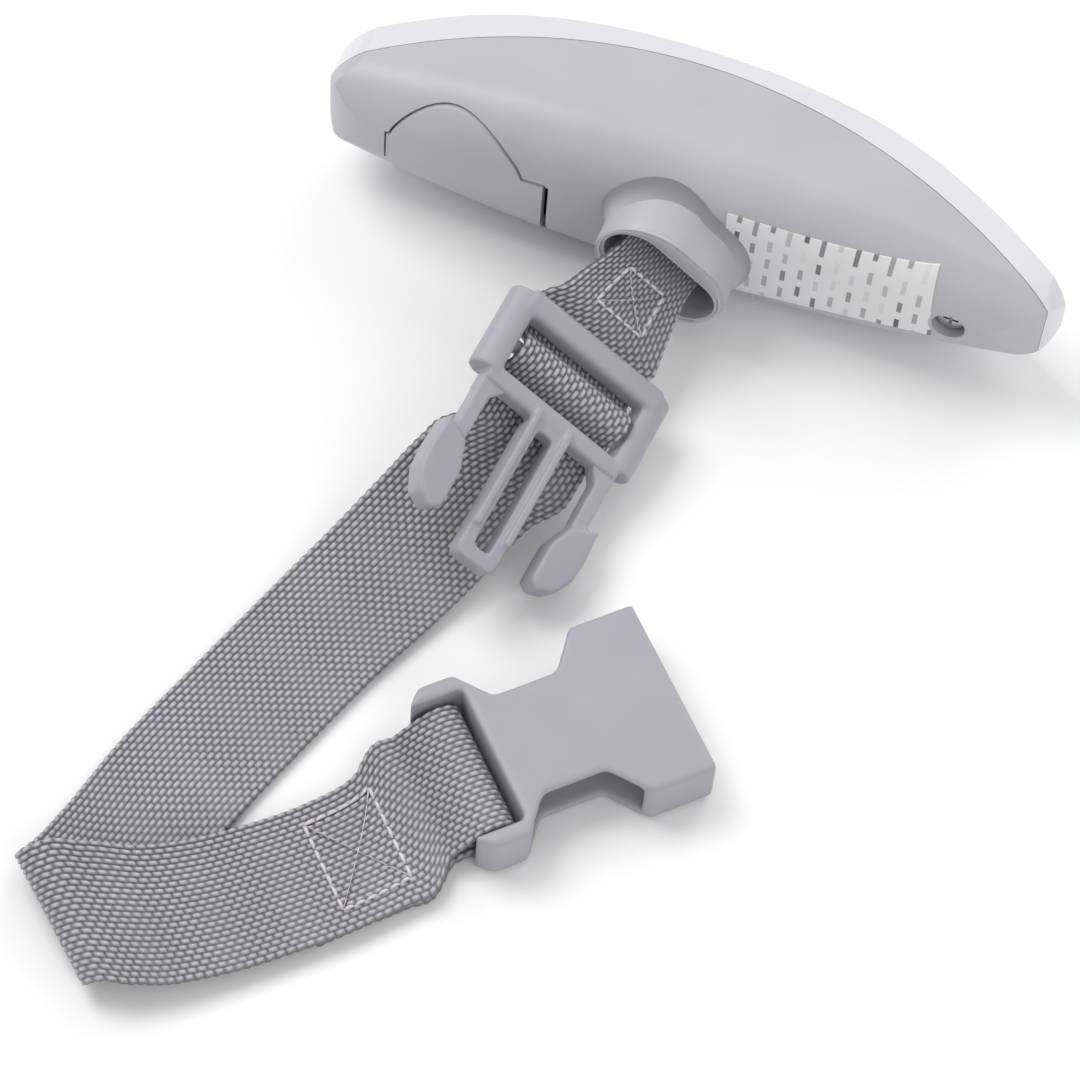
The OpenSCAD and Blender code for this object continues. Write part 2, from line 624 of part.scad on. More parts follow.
// ---------- Female buckle half ----------
socket_end_y = -2;
notch_x = 10.2;
socket_wall = 1.6;
pocket_y = 8.4;
guide_x = 5.2;
guide_end_y = 34;
guide_h = 0.9;
window_y = [11, 24];
strap_slot = 26.4;
slot_end_y = 7.4;
module socket_outline(o) {
    half = buckle_w / 2 - o;
    polygon(concat(
        [[-half, socket_end_y + socket_l - o], [-half, 29], [-notch_x - o, 23.5], [-notch_x - o, 12],
            [-half + 0.8, 7], [-half + 0.8, 0.6],
            [-half + 3.6, socket_end_y + o]],
        [[half - 3.6, socket_end_y + o], [half - 0.8, 0.6], [half - 0.8, 7], [notch_x + o, 12], [notch_x + o, 23.5],
            [half, 29], [half, socket_end_y + socket_l - o]]));
}
module female_buckle() color([0.65, 0.64, 0.69]) female_frame() {
    thick = socket_t;
    inner = thick - 2 * socket_wall;
    difference() {
        translate([0, 0, -thick / 2]) linear_extrude(thick) socket_outline(0);
        translate([0, (pocket_y + 60) / 2, 0])
            cube([2 * (buckle_w / 2 - socket_wall), 60 - pocket_y, inner], center = true);
        translate([-buckle_w, window_y[0], -inner / 2]) cube([2 * buckle_w, window_y[1] - window_y[0], inner]);
        translate([-strap_slot / 2, -10, -thick]) cube([strap_slot, slot_end_y + 10, 2 * thick]);
    }
    translate([0, 3, 0]) rotate([0, 90, 0]) cylinder(h = strap_slot + 0.6, r = 1.6, center = true, $fn = fine);
    for (s = [-1, 1], side = [-1, 1]) translate([s * guide_x, (pocket_y + guide_end_y) / 2, side * (inner - guide_h) / 2])
        cube([0.8, guide_end_y - pocket_y + 1, guide_h + 0.2], center = true);
}

bottom_shell();
top_cover();
display_lens();
lcd_panel();
zebra_strips();
circuit_board();
button_domes();
power_button();
unit_button();
load_cell();
strain_gauge();
load_cell_screws();
strap_eye();
eye_nut();
coin_cell();
positive_contact();
negative_contact();
battery_cover();
battery_leads();
gauge_leads();
case_screw();
info_label();
webbing_strap();
upper_stitching();
end_stitching();
male_buckle();
left_prong();
right_prong();
female_buckle();
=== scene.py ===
"""Digital luggage scale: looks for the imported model, in metres, row frame.

Places in this script are in millimetres from the handle's middle: X along the
handle, Y towards its arched back, Z up, as in the CAD. world() turns them into
metres in the row frame.
"""
import json
import math

import bmesh
import bpy
import numpy as np
from mathutils import Matrix, Vector
from mathutils.bvhtree import BVHTree

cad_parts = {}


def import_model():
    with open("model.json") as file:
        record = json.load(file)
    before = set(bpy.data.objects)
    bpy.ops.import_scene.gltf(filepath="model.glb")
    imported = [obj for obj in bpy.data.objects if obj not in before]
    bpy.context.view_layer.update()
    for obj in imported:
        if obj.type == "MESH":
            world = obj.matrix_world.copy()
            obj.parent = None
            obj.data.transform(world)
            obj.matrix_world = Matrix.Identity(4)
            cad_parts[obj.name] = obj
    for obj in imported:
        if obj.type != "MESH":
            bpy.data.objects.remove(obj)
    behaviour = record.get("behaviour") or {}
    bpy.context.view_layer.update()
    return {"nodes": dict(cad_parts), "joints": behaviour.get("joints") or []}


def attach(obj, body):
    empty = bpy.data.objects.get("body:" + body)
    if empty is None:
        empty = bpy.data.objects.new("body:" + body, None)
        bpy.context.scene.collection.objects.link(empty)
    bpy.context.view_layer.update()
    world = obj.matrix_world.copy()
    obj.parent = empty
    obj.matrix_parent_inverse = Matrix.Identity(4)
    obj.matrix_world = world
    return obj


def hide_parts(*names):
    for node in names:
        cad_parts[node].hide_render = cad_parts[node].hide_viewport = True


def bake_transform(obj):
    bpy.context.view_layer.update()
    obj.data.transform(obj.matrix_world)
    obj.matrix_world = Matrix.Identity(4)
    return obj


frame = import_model()
MM = 0.001
THROAT_TURN = 38   # degrees, about Y: the throat and the strap in it
EYE_Y = -3.5       # the strap's eye, below the handle's middle
EYE = next(j["pos_m"] for j in frame["joints"] if j["name"] == "strap_swing")
MIDDLE = np.array(EYE) / MM - [0, EYE_Y, 0]   # the handle's middle in the row frame


# ---------------------------------------------------------------- small helpers
def world(points):
    """Metres in the row frame, from millimetres about the handle's middle."""
    return (np.asarray(points, float) + MIDDLE) * MM


def unit(v):
    return v / np.linalg.norm(v)


def turned(v, angles):
    """v turned about X, then Y, then Z."""
    c = [math.cos(math.radians(a)) for a in angles]
    s = [math.sin(math.radians(a)) for a in angles]
    x = [v[0], v[1] * c[0] - v[2] * s[0], v[1] * s[0] + v[2] * c[0]]
    y = [x[0] * c[1] + x[2] * s[1], x[1], -x[0] * s[1] + x[2] * c[1]]
    return np.array([y[0] * c[2] - y[1] * s[2], y[0] * s[2] + y[1] * c[2], y[2]])


def face_outwards(mesh):
    bm = bmesh.new()
    bm.from_mesh(mesh)
    bmesh.ops.recalc_face_normals(bm, faces=bm.faces)
    bm.to_mesh(mesh)
    bm.free()


def closed_mesh(name, verts, faces):
    """A closed mesh from points in millimetres."""
    mesh = bpy.data.meshes.new(name)
    mesh.from_pydata(world(verts).tolist(), [], faces)
    face_outwards(mesh)
    return mesh


def add_piece(name, mesh, material):
    """A smooth piece in one material, not yet on a body."""
    ob = bpy.data.objects.new(name, mesh)
    bpy.context.scene.collection.objects.link(ob)
    for p in mesh.polygons:
        p.use_smooth = True
    mesh.materials.clear()
    mesh.materials.append(material)
    return ob


# ---------------------------------------------------------------- camera
CAMERA_ANGLES = (16, 59, 5.5)     # azimuth, height and roll, degrees
CAMERA_DISTANCE = 750.0           # from the point it looks at
LOOK_LEFT, LOOK_DOWN = 27.11, 60.215   # that point, from the handle's middle, in the view
SENSOR, LENS = 36, 139.25


def add_camera():
    az, el, roll = (math.radians(a) for a in CAMERA_ANGLES)
    out = Vector((math.sin(az) * math.cos(el), -math.cos(az) * math.cos(el), math.sin(el)))
    level = Vector((math.cos(az), math.sin(az), 0))
    above = level.cross(-out)
    right = math.cos(roll) * level + math.sin(roll) * above
    up = -math.sin(roll) * level + math.cos(roll) * above
    eye = out * CAMERA_DISTANCE - right * LOOK_LEFT - up * LOOK_DOWN
    cam = bpy.data.cameras.new("camera")
    cam.lens = LENS
    cam.sensor_width = SENSOR
    cam.clip_start = 0.05
    cam.clip_end = 20
    ob = bpy.data.objects.new("camera", cam)
    bpy.context.scene.collection.objects.link(ob)
    turn = Matrix((right, up, out)).transposed().to_4x4()
    ob.matrix_world = Matrix.Translation(Vector(world(eye))) @ turn
    bpy.context.scene.camera = ob


add_camera()


# ---------------------------------------------------------------- materials
class Nodes:
    """Short names for building a node material."""

    def __init__(self, name):
        self.mat = bpy.data.materials.new(name)
        self.mat.use_nodes = True
        self.tree = self.mat.node_tree
        self.shader = self.tree.nodes["Principled BSDF"]

    def add(self, kind, **values):
        node = self.tree.nodes.new(kind)
        for key, value in values.items():
            if hasattr(node, key):
                setattr(node, key, value)
            else:
                node.inputs[key.replace("_", " ")].default_value = value
        return node

    def join(self, a, b):
        self.tree.links.new(a, b)

    def place(self):
        return self.add("ShaderNodeTexCoord").outputs["Object"]

    def noise(self, scale, detail=3.0, roughness=0.5, at=None):
        n = self.add("ShaderNodeTexNoise", Scale=scale, Detail=detail, Roughness=roughness)
        self.join(at or self.place(), n.inputs["Vector"])
        return n.outputs["Fac"]

    def ramp(self, value, stops):
        r = self.add("ShaderNodeValToRGB")
        e = r.color_ramp.elements
        e[0].position, e[0].color = stops[0][0], (*stops[0][1], 1)
        e[1].position, e[1].color = stops[-1][0], (*stops[-1][1], 1)
        for pos, col in stops[1:-1]:
            n = e.new(pos)
            n.color = (*col, 1)
        self.join(value, r.inputs["Fac"])
        return r.outputs["Color"]

    def span(self, value, low, high):
        m = self.add("ShaderNodeMapRange")
        m.inputs["To Min"].default_value = low
        m.inputs["To Max"].default_value = high
        self.join(value, m.inputs["Value"])
        return m.outputs["Result"]

    def bump(self, value, strength, distance, after=None):
        b = self.add("ShaderNodeBump", Strength=strength, Distance=distance)
        self.join(value, b.inputs["Height"])
        if after:
            self.join(after, b.inputs["Normal"])
        return b.outputs["Normal"]


def plastic(name, color, rough=0.42, grain=0.25, vary=0.04, coat=0.0, spec=0.5):
    """Moulded plastic: fine satin grain, faint mottling, soft gloss."""
    n = Nodes(name)
    lo = tuple(c * (1 - vary) for c in color)
    hi = tuple(min(1, c * (1 + vary)) for c in color)
    mottle = n.noise(scale=60, detail=4)
    n.join(n.ramp(mottle, [(0.3, lo), (0.7, hi)]), n.shader.inputs["Base Color"])
    rubbed = n.noise(scale=900, detail=2)
    n.join(n.span(rubbed, rough - 0.05, rough + 0.07), n.shader.inputs["Roughness"])
    fine = n.bump(n.noise(scale=5200, detail=2), strength=grain, distance=0.00002)
    swell = n.noise(scale=140, detail=2)
    n.join(n.bump(swell, strength=0.12, distance=0.0001, after=fine), n.shader.inputs["Normal"])
    n.shader.inputs["Specular IOR Level"].default_value = spec
    n.shader.inputs["Coat Weight"].default_value = coat
    n.shader.inputs["Coat Roughness"].default_value = 0.12
    return n.mat


def metal(name, color, rough=0.3, brushed=(1, 1, 30)):
    """Plated or milled metal with fine directional marks."""
    n = Nodes(name)
    stretch = n.add("ShaderNodeMapping")
    stretch.inputs["Scale"].default_value = brushed
    n.join(n.place(), stretch.inputs["Vector"])
    lines = n.noise(scale=400, detail=4, roughness=0.6, at=stretch.outputs["Vector"])
    lo = tuple(c * 0.85 for c in color)
    stain = n.noise(scale=90, detail=3)
    n.join(n.ramp(stain, [(0.3, lo), (0.7, color)]), n.shader.inputs["Base Color"])
    n.join(n.span(lines, rough - 0.08, rough + 0.12), n.shader.inputs["Roughness"])
    n.join(n.bump(lines, strength=0.15, distance=0.00003), n.shader.inputs["Normal"])
    n.shader.inputs["Metallic"].default_value = 1.0
    return n.mat


GREY = (0.435, 0.430, 0.465)
BUCKLE_GREY = (0.355, 0.349, 0.392)
shell_mat = plastic("shell_grey", GREY, 0.40, 0.2)
buckle_mat = plastic("buckle_grey", BUCKLE_GREY, 0.45, 0.3)
white_mat = plastic("cover_white", (0.64, 0.64, 0.675), 0.22, 0.08, 0.015, 0.3)
steel_mat = metal("plated_steel", (0.60, 0.60, 0.60))
alu_mat = metal("milled_aluminium", (0.78, 0.78, 0.79), 0.35, (30, 1, 1))
brass_mat = metal("brass", (0.72, 0.58, 0.32), 0.3, (1, 30, 1))
board_mat = plastic("solder_mask", (0.02, 0.16, 0.07), 0.35, 0.3, 0.2)
key_mat = plastic("key_grey", (0.33, 0.32, 0.36), 0.45, 0.35)
amber_mat = plastic("gauge_foil", (0.66, 0.40, 0.12), 0.35, 0.2, 0.1)
red_mat = plastic("lead_red", (0.50, 0.04, 0.03), 0.4, 0.2)
pale_mat = plastic("lead_white", (0.70, 0.70, 0.66), 0.4, 0.2)
rubber_mat = plastic("contact_rubber", (0.50, 0.22, 0.26), 0.7, 0.4, 0.15)
thread_mat = plastic("polyester_thread", (0.62, 0.59, 0.61), 0.5, 0.5, 0.12)


def webbing_material():
    """Painted shade in the weave's gaps and painted highlight on its bump tops, coloured from the
    bump height in the mesh; fine threads that follow the weave's own grid, held in the mesh's UV map.
    """
    n = Nodes("webbing_painted_weave_shade")
    uv = n.add("ShaderNodeUVMap", uv_map="weave").outputs["UV"]
    shade_from_height = n.add("ShaderNodeAttribute", attribute_name="pick").outputs["Fac"]
    # Colour from the bump height: painted shade, near black, in the gaps and painted highlight, pale
    # grey, on the bump tops.
    base = n.ramp(shade_from_height, [(0.0, (0.040, 0.040, 0.045)), (0.40, (0.130, 0.129, 0.138)),
                           (0.75, (0.275, 0.272, 0.292)), (1.0, (0.50, 0.495, 0.535))])
    worn = n.noise(scale=55, detail=3)
    tint = n.ramp(worn, [(0.3, (0.90, 0.90, 0.88)), (0.7, (1.05, 1.04, 1.08))])
    mix = n.add("ShaderNodeMix", data_type="RGBA", blend_type="MULTIPLY")
    mix.inputs["Factor"].default_value = 1.0
    n.join(base, mix.inputs["A"])
    n.join(tint, mix.inputs["B"])
    n.join(mix.outputs["Result"], n.shader.inputs["Base Color"])
    stretch = n.add("ShaderNodeMapping")
    stretch.inputs["Scale"].default_value = (14, 1.2, 1)
    n.join(uv, stretch.inputs["Vector"])
    fibre = n.noise(scale=1.0, detail=2, roughness=0.6, at=stretch.outputs["Vector"])
    n.join(n.bump(fibre, strength=0.55, distance=0.00008), n.shader.inputs["Normal"])
    n.shader.inputs["Roughness"].default_value = 0.46
    n.shader.inputs["Sheen Weight"].default_value = 0.25
    n.shader.inputs["Sheen Roughness"].default_value = 0.4
    n.shader.inputs["Specular IOR Level"].default_value = 0.55
    return n.mat


def glass_material():
    """Clear acrylic with faint marks."""
    n = Nodes("display_acrylic")
    marks = n.noise(scale=30, detail=2)
    n.join(n.span(marks, 0.05, 0.12), n.shader.inputs["Roughness"])
    n.shader.inputs["Base Color"].default_value = (0.25, 0.27, 0.29, 1)
    n.shader.inputs["Transmission Weight"].default_value = 0.8
    n.shader.inputs["IOR"].default_value = 1.49
    return n.mat


def label_material():
    """White film with rows of short grey dashes in place of any print."""
    film, ink = (0.70, 0.70, 0.71, 1), (0.06, 0.06, 0.06, 1)
    n = Nodes("label_film")
    parts = n.add("ShaderNodeSeparateXYZ")
    n.join(n.place(), parts.inputs["Vector"])
    flat = n.add("ShaderNodeCombineXYZ")
    n.join(parts.outputs["Z"], flat.inputs["X"])
    n.join(parts.outputs["X"], flat.inputs["Y"])
    dash = n.add("ShaderNodeTexBrick", Scale=1.0, offset=0.37)
    n.join(flat.outputs["Vector"], dash.inputs["Vector"])
    for key, value in (("Color1", ink), ("Color2", film), ("Mortar", film),
                       ("Mortar Size", 0.0011), ("Mortar Smooth", 0.0),
                       ("Brick Width", 0.0052), ("Row Height", 0.0031)):
        dash.inputs[key].default_value = value
    n.join(dash.outputs["Color"], n.shader.inputs["Base Color"])
    rubbed = n.noise(scale=700, detail=2)
    n.join(n.span(rubbed, 0.26, 0.36), n.shader.inputs["Roughness"])
    return n.mat


web_mat = webbing_material()
glass_mat = glass_material()
lcd_mat = plastic("lcd_glass", (0.36, 0.41, 0.35), 0.15, 0.05)
label_mat = label_material()

CAD_LOOKS = (
    (shell_mat, ("bottom_shell", "battery_cover")),
    (white_mat, ("top_cover",)),
    (glass_mat, ("display_lens",)),
    (lcd_mat, ("lcd_panel",)),
    (rubber_mat, ("zebra_strips",)),
    (board_mat, ("circuit_board",)),
    (key_mat, ("power_button", "unit_button")),
    (alu_mat, ("load_cell",)),
    (amber_mat, ("strain_gauge",)),
    (steel_mat, ("button_domes", "load_cell_screws", "strap_eye", "coin_cell", "case_screw")),
    (brass_mat, ("eye_nut", "positive_contact", "negative_contact")),
    (red_mat, ("battery_leads",)),
    (pale_mat, ("gauge_leads",)),
    (buckle_mat, ("male_buckle", "left_prong", "right_prong", "female_buckle")),
    (label_mat, ("info_label",)),
)
for look, nodes in CAD_LOOKS:
    for node in nodes:
        mesh = frame["nodes"][node].data
        mesh.materials.clear()
        mesh.materials.append(look)


# ---------------------------------------------------------------- webbing route
WEB_W, WEB_T = 25.0, 1.6
MALE_AT, MALE_TURN = np.array([-5.8, -37.5, 0.2]), (6, 34, -2.5)
FEMALE_AT, FEMALE_TURN = np.array([0.8, -119.0, -11.75]), (0, 0, -45)


def on_male(x, y, z):
    return MALE_AT + turned((x, y, z), MALE_TURN)


def on_female(x, y, z):
    return FEMALE_AT + turned((x, y, z), FEMALE_TURN)


def heading(az, tilt):
    """Unit vector at an azimuth and tilt in degrees."""
    a, t = math.radians(az), math.radians(tilt)
    return np.array([math.cos(t) * math.cos(a), math.cos(t) * math.sin(a), math.sin(t)])


def web_points():
    """Rows of x, y, z, azimuth and tilt of the width, and its share, as in the CAD."""
    lean = math.radians(THROAT_TURN)
    lay = np.array([math.sin(lean), 0, math.cos(lean)])
    turn_r, layer, squeeze, spread = 2.7, 0.9, 0.68, 1.5
    low, high = -16.2, -14.45   # lying on the table, and lying on the layer below
    throat = -THROAT_TURN
    male_az, male_tilt = MALE_TURN[2], -MALE_TURN[1]
    female_az = FEMALE_TURN[2]

    def row(p, az, tilt, w=1.0):
        return [*p, az, tilt, w]

    def off(p, side):
        return np.array(p, float) + lay * side

    rows = [row(off((-5.1, -29.6, -1.9), -layer), -1, throat, 0.95),
            row(off((-4, -25, -1.3), -layer), 0, throat, 0.84),
            row(off((-2, -17, -0.3), -layer), 0, throat, squeeze),
            row(off((-0.7, -10, 0), -spread), 0, throat, squeeze)]
    bend = turn_r * 0.7
    for a, b in ((-0.4, -1), (bend, -0.7), (turn_r, 0), (bend, 0.7), (-0.4, 1)):
        rows.append(row(off((0, EYE_Y + a, 0), turn_r * b), 0, throat, squeeze))
    rows += [row(off((-0.7, -10, 0), spread), 0, throat, squeeze),
             row(off((-2, -17, -0.3), layer), 0, throat, squeeze),
             row(off((-4, -25, -1.3), layer), 0, throat, 0.86),
             row(off((-5.1, -29.6, -1.9), layer), -1, throat, 0.96)]
    for y, z in ((3.4, -2.9), (-1.2, -2.9), (-3.9, -1.6), (-5.4, 0.6), (-6.3, 1.9), (-7.8, 2.4),
                 (-9.3, 1.9), (-10.2, 0.6), (-11.4, -1.5), (-12.9, -3), (-16, -3.9), (-20, -4.6)):
        rows.append(row(on_male(0, y, z), male_az, male_tilt))
    rows += [row((-15.5, -64, -7), -12, -25), row((-20.5, -75, -10.5), -18, -17),
             row((-25, -85, -13.4), -20, -9), row((-29.5, -95, -15.2), -20, -3),
             row((-37, -116, low + 0.1), -21, 0), row((-43, -135, low + 0.1), -22, 0),
             row((-46.4, -150, low + 0.3), -28, 0), row((-48.4, -157.5, low + 0.6), -34, -1)]
    fold_az, fold_tilt, fold_r, climb = -40, -9, 3.1, 0.4
    fold_at = np.array([-50.3, -163.5, low + 1.2])
    line = heading(fold_az, 0)
    out = np.array([line[1], -line[0], 0])
    for a in range(0, 181, 36):
        t = math.radians(a)
        p = fold_at + out * fold_r * math.sin(t) + line * fold_r * climb * t
        p[2] += fold_r * (1 - math.cos(t))
        rows.append(row(p, fold_az, fold_tilt * (0.25 + 0.75 * math.sin(t / 2))))
    rows += [row((-42.5, -163.8, -9.6), -42, -9), row((-35.5, -160.3, -11.4), -45, -7),
             row((-28.5, -155.2, -13), -46, -4), row((-20, -147.5, -14.1), -45, -1),
             row((-12, -139.5, high), -45, 0), row((-6, -131.5, high), -45, 0)]
    for y, z in ((-5.5, -2), (-2, 0.8), (0.7, 2.3), (3, 2.7), (5, 1.9), (5.7, 0), (5, -1.9),
                 (3, -2.7), (0, -3.4), (-5, -4.3)):
        rows.append(row(on_female(0, y, z), female_az, 0))
    rows += [row((-6.4, -132.2, low + 0.1), female_az, 0), row((-12, -138.4, low), female_az, 0),
             row((-18, -145, low), female_az, 0)]
    return np.array(rows, float)


def smooth_rows(knots, steps):
    """Hermite curve through the rows with slopes weighted by the gaps."""
    gap = np.linalg.norm(np.diff(knots[:, :3], axis=0), axis=1)
    chord = np.diff(knots, axis=0) / gap[:, None]
    slope = [chord[0]]
    for i in range(1, len(knots) - 1):
        slope.append((chord[i] * gap[i - 1] + chord[i - 1] * gap[i]) / (gap[i - 1] + gap[i]))
    slope.append(chord[-1])
    out = []
    for i in range(len(knots) - 1):
        for t in np.linspace(0, 1, steps, endpoint=False):
            out.append((2 * t**3 - 3 * t * t + 1) * knots[i]
                       + (t**3 - 2 * t * t + t) * gap[i] * slope[i]
                       + (3 * t * t - 2 * t**3) * knots[i + 1]
                       + (t**3 - t * t) * gap[i] * slope[i + 1])
    out.append(knots[-1])
    return np.array(out)


def even_rows(rows, step):
    """The same curve with rows a fixed length apart."""
    run = np.r_[0, np.cumsum(np.linalg.norm(np.diff(rows[:, :3], axis=0), axis=1))]
    at = np.linspace(0, run[-1], int(round(run[-1] / step)) + 1)
    return at, np.stack([np.interp(at, run, rows[:, c]) for c in range(rows.shape[1])], 1)


def ribbon_frames(rows):
    """Middle, width direction and face direction at each row."""
    p = rows[:, :3]
    along = np.gradient(p, axis=0)
    along /= np.linalg.norm(along, axis=1)[:, None]
    side = np.array([heading(a, t) for a, t in rows[:, 3:5]])
    cross = np.cross(side, along)
    side = side / np.linalg.norm(cross, axis=1)[:, None]
    up = np.cross(along, side)
    up /= np.linalg.norm(up, axis=1)[:, None]
    return p, side, up


RUN, WEB_ROWS = even_rows(smooth_rows(web_points(), steps=24), step=0.3)
WEB_MID, WEB_SIDE, WEB_UP = ribbon_frames(WEB_ROWS)
WEB_SHARE = WEB_ROWS[:, 5]
WEB_TABLE = np.concatenate([WEB_MID, WEB_SIDE, WEB_UP, WEB_SHARE[:, None]], 1)


COLUMN, PICK = 1.04, 1.76   # one bump of the weave, across and along
RELIEF = 0.38               # height of a bump
SCALLOP = 0.10              # how far each pick stands out at the selvedge
EDGE_SHARE, EDGE_THIN = 0.045, 0.12   # the selvedge's rounded share and its thickness


def weave_height(u, v):
    """0 in the gaps, 1 on top of a bump; u, v across and along the webbing."""
    col = np.floor(u / COLUMN)
    cu = u / COLUMN - col - 0.5
    pv = v / PICK + 0.5 * (col % 2)
    cv = pv - np.floor(pv) - 0.5
    warp = np.clip(1 - (np.abs(cu) / 0.5) ** 2.2, 0, 1) ** 0.5
    pick = np.clip(1 - (np.abs(cv) / 0.46) ** 2.4, 0, 1) ** 0.5
    return warp * (0.30 + 0.70 * pick)


def ribbon_faces(n, m):
    """Faces of a closed ribbon: n by m points on the front, then as many on the back."""
    k, j = np.meshgrid(np.arange(n - 1), np.arange(m - 1), indexing="ij")
    a = (k * m + j).ravel()
    front = np.stack([a, a + m, a + m + 1, a + 1], 1)
    quads = [front[:, ::-1], front + n * m]
    for col in (0, m - 1):
        e = np.arange(n - 1) * m + col
        q = np.stack([e, e + m, e + m + n * m, e + n * m], 1)
        quads.append(q if col == 0 else q[:, ::-1])
    for r in (0, n - 1):
        e = r * m + np.arange(m - 1)
        q = np.stack([e, e + 1, e + 1 + n * m, e + n * m], 1)
        quads.append(q[:, ::-1] if r == 0 else q)
    return np.concatenate(quads)


def build_webbing():
    """A closed ribbon whose faces carry the weave as real bumps, with scalloped edges."""
    n_across = 96
    s = np.linspace(-1, 1, n_across + 1)
    half_w, half_t = WEB_W / 2, WEB_T / 2
    u = (s + 1) * half_w
    verts, pick, uvs = [], [], []
    edge = np.clip((1 - np.abs(s)) / EDGE_SHARE, 0, 1)
    round_off = np.sqrt(np.clip(1 - (1 - edge) ** 2, 0, 1))
    thin = EDGE_THIN + (1 - EDGE_THIN) * round_off
    for face in (1, -1):
        for k, v in enumerate(RUN):
            h = weave_height(u, v + (PICK / 2 if face < 0 else 0))
            wave = SCALLOP * math.sin(2 * math.pi * v / PICK)
            reach = s * (half_w + wave * np.abs(s) ** 20 - SCALLOP) * WEB_SHARE[k]
            z = face * (half_t - RELIEF + RELIEF * h) * thin
            verts.append(WEB_MID[k] + WEB_SIDE[k] * reach[:, None] + WEB_UP[k] * z[:, None])
            pick.append(h)
            uvs.append(np.stack([u / COLUMN, np.full_like(u, v / PICK)], 1))
    pick, uvs = np.concatenate(pick), np.concatenate(uvs)
    mesh = bpy.data.meshes.new("webbing")
    quads = ribbon_faces(len(RUN), n_across + 1)
    mesh.from_pydata(world(np.concatenate(verts)).tolist(), [], quads.tolist())
    # The bump height per point, which the webbing's material paints as shade in the gaps and as
    # highlight on the tops.
    mesh.attributes.new("pick", "FLOAT", "POINT").data.foreach_set("value", pick.astype(np.float32))
    layer = mesh.uv_layers.new(name="weave")
    loops = np.empty(len(mesh.loops), np.int32)
    mesh.loops.foreach_get("vertex_index", loops)
    layer.data.foreach_set("uv", uvs[loops].astype(np.float32).ravel())
    ob = add_piece("webbing", mesh, web_mat)
    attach(ob, "strap")
    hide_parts("webbing_strap")


build_webbing()


# ---------------------------------------------------------------- moulded pieces
def node_mesh(node):
    """A copy of a CAD node's mesh, in the row frame."""
    src = frame["nodes"][node]
    mesh = src.data.copy()
    mesh.transform(src.matrix_world)
    return mesh


def voxelled(mesh, size):
    """One closed skin round everything in the mesh."""
    ob = bpy.data.objects.new("raw", mesh)
    bpy.context.scene.collection.objects.link(ob)
    mod = ob.modifiers.new("remesh", "REMESH")
    mod.mode = "VOXEL"
    mod.voxel_size = size * MM
    graph = bpy.context.evaluated_depsgraph_get()
    skin = bpy.data.meshes.new_from_object(ob.evaluated_get(graph))
    bpy.data.objects.remove(ob)
    return skin


def relax(mesh, passes, share=None):
    """Rounds the corners: each point drifts to the middle of its neighbours."""
    n = len(mesh.vertices)
    co = np.empty(3 * n)
    mesh.vertices.foreach_get("co", co)
    co = co.reshape(-1, 3)
    ends = np.empty(2 * len(mesh.edges), np.int32)
    mesh.edges.foreach_get("vertices", ends)
    a, b = ends.reshape(-1, 2).T
    count = np.bincount(ends, minlength=n)[:, None]
    pull = 0.5 if share is None else 0.5 * share(co)[:, None]
    for _ in range(passes):
        total = np.stack([np.bincount(a, co[b, c], n) + np.bincount(b, co[a, c], n)
                          for c in range(3)], 1)
        co += pull * (total / count - co)
    mesh.vertices.foreach_set("co", co.ravel())
    mesh.update()


BOX_FACES = ((0, 1, 3, 2), (4, 6, 7, 5), (0, 4, 5, 1), (2, 3, 7, 6), (0, 2, 6, 4), (1, 5, 7, 3))


def add_block(mesh, corners):
    """Adds a box, given by its eight corners, to the mesh."""
    bm = bmesh.new()
    bm.from_mesh(mesh)
    v = [bm.verts.new(c) for c in corners]
    for f in BOX_FACES:
        bm.faces.new([v[i] for i in f])
    bmesh.ops.recalc_face_normals(bm, faces=bm.faces)
    bm.to_mesh(mesh)
    bm.free()


def moulded(name, node, body, voxel, passes):
    """A buckle half with its corners rounded as a moulding's are."""
    mesh = voxelled(node_mesh(node), voxel)
    relax(mesh, passes)
    ob = add_piece(name, mesh, buckle_mat)
    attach(ob, body)
    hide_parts(node)


MALE_VOXEL = 0.24   # size of the male half's skin cells
moulded("male_frame", "male_buckle", "strap", voxel=MALE_VOXEL, passes=12)
moulded("socket_half", "female_buckle", "socket", voxel=0.3, passes=34)

ARM_X, ARM_ROOT_Y = 13.9, -17.0     # an arm's root, in the male half's own axes
ROOT_HALF_X, ROOT_Y, ROOT_HALF_Z = 1.5, (-2.0, 1.6), 1.75
GUSSET = ((1.0, 1.2), (-1.3, -2.6), (-4.4, 1.2), (-1.4, -2.6))   # from the root
GUSSET_HALF_Z = 1.6
HEAD_FROM, HEAD_TO = -9.0, -14.0    # where its head's full rounding sets in
ARM_ROUNDING = 0.22                 # the arm's share of the head's rounding
PRONG_PASSES = 34


